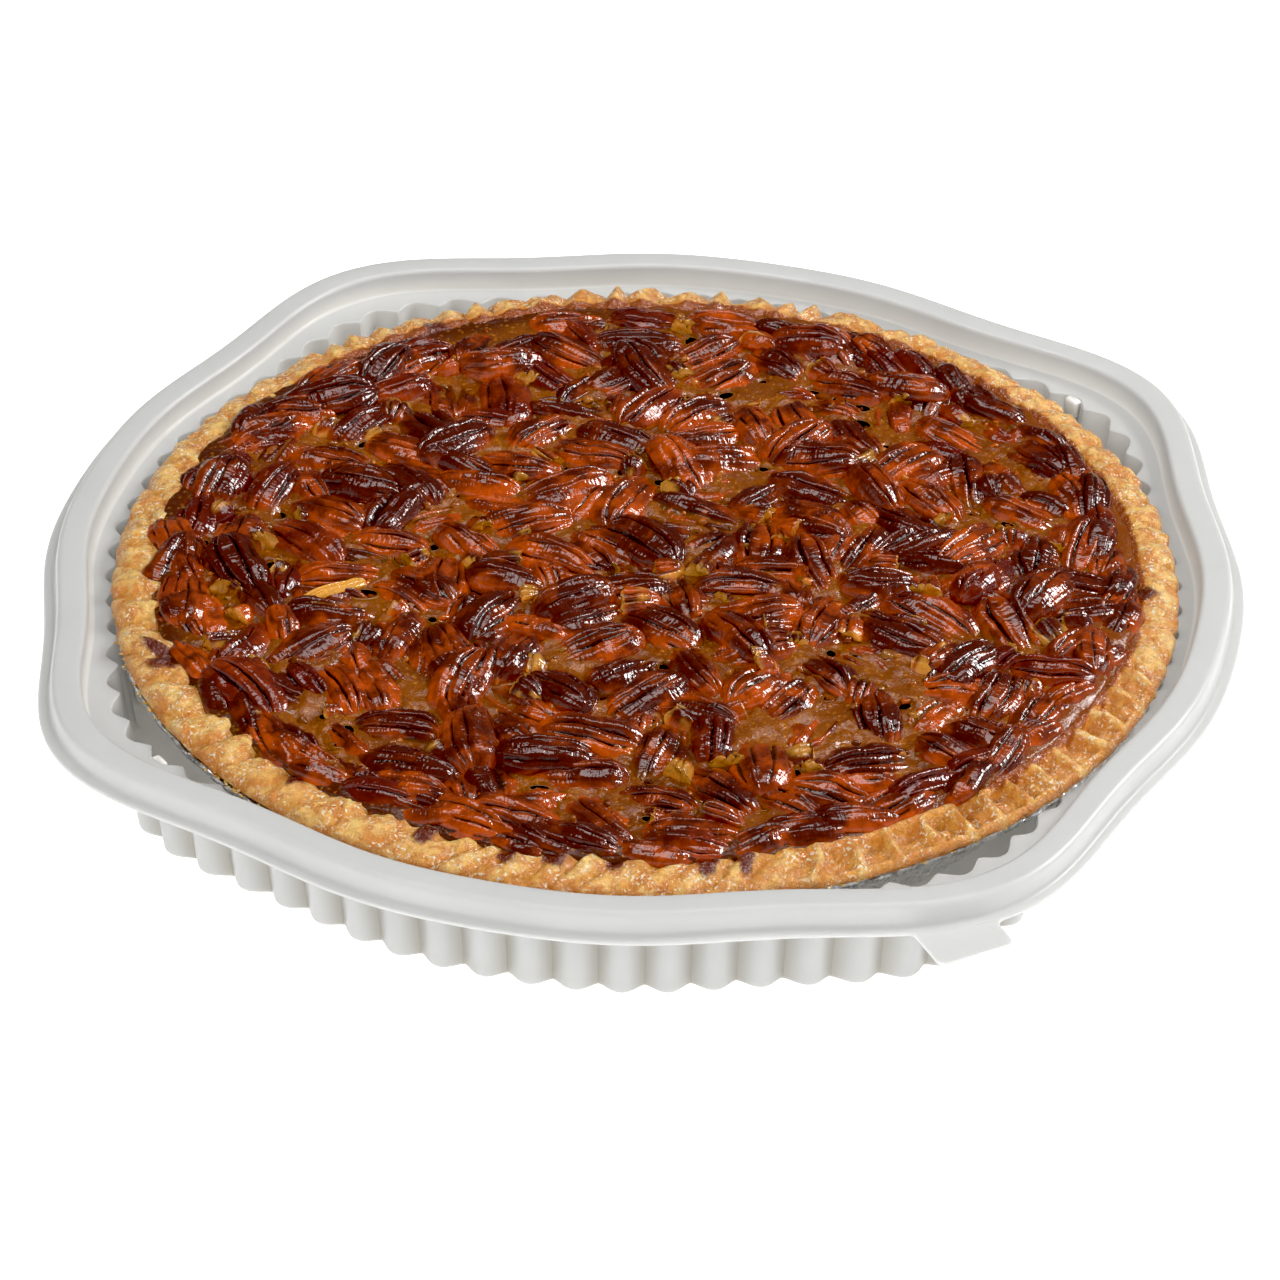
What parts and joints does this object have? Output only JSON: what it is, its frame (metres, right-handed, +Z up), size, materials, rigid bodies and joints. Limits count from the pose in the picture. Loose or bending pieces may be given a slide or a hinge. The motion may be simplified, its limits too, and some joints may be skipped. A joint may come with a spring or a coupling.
{
  "type": "pecan pie",
  "caption": "Whole open pecan pie with a crimped pastry rim, baked in a thin foil tin and standing in a shallow white fluted plastic tray with four corner lobes and a pull tab.",
  "frame": {"origin": "on the tray's axis, in the plane of the tray's underside", "axes": "+Z up out of the pie; the tray's four corner lobes lie on the diagonals between X and Y, and the tab is beside the +X -Y lobe"},
  "size_m": [0.3316, 0.3316, 0.0463],
  "materials": {
    "tray_plastic": "smooth satin white thermoformed plastic",
    "foil": "thin crinkled bright foil",
    "pastry": "baked golden shortcrust, dry with a slight oily sparkle",
    "pecans_in_syrup": "pecan halves under a very glossy brown syrup glaze"
  },
  "bodies": {
    "root": {"tray": "tray_plastic", "foil_tin": "foil", "crust": "pastry", "pecan_filling": "pecans_in_syrup"}
  },
  "joints": []
}
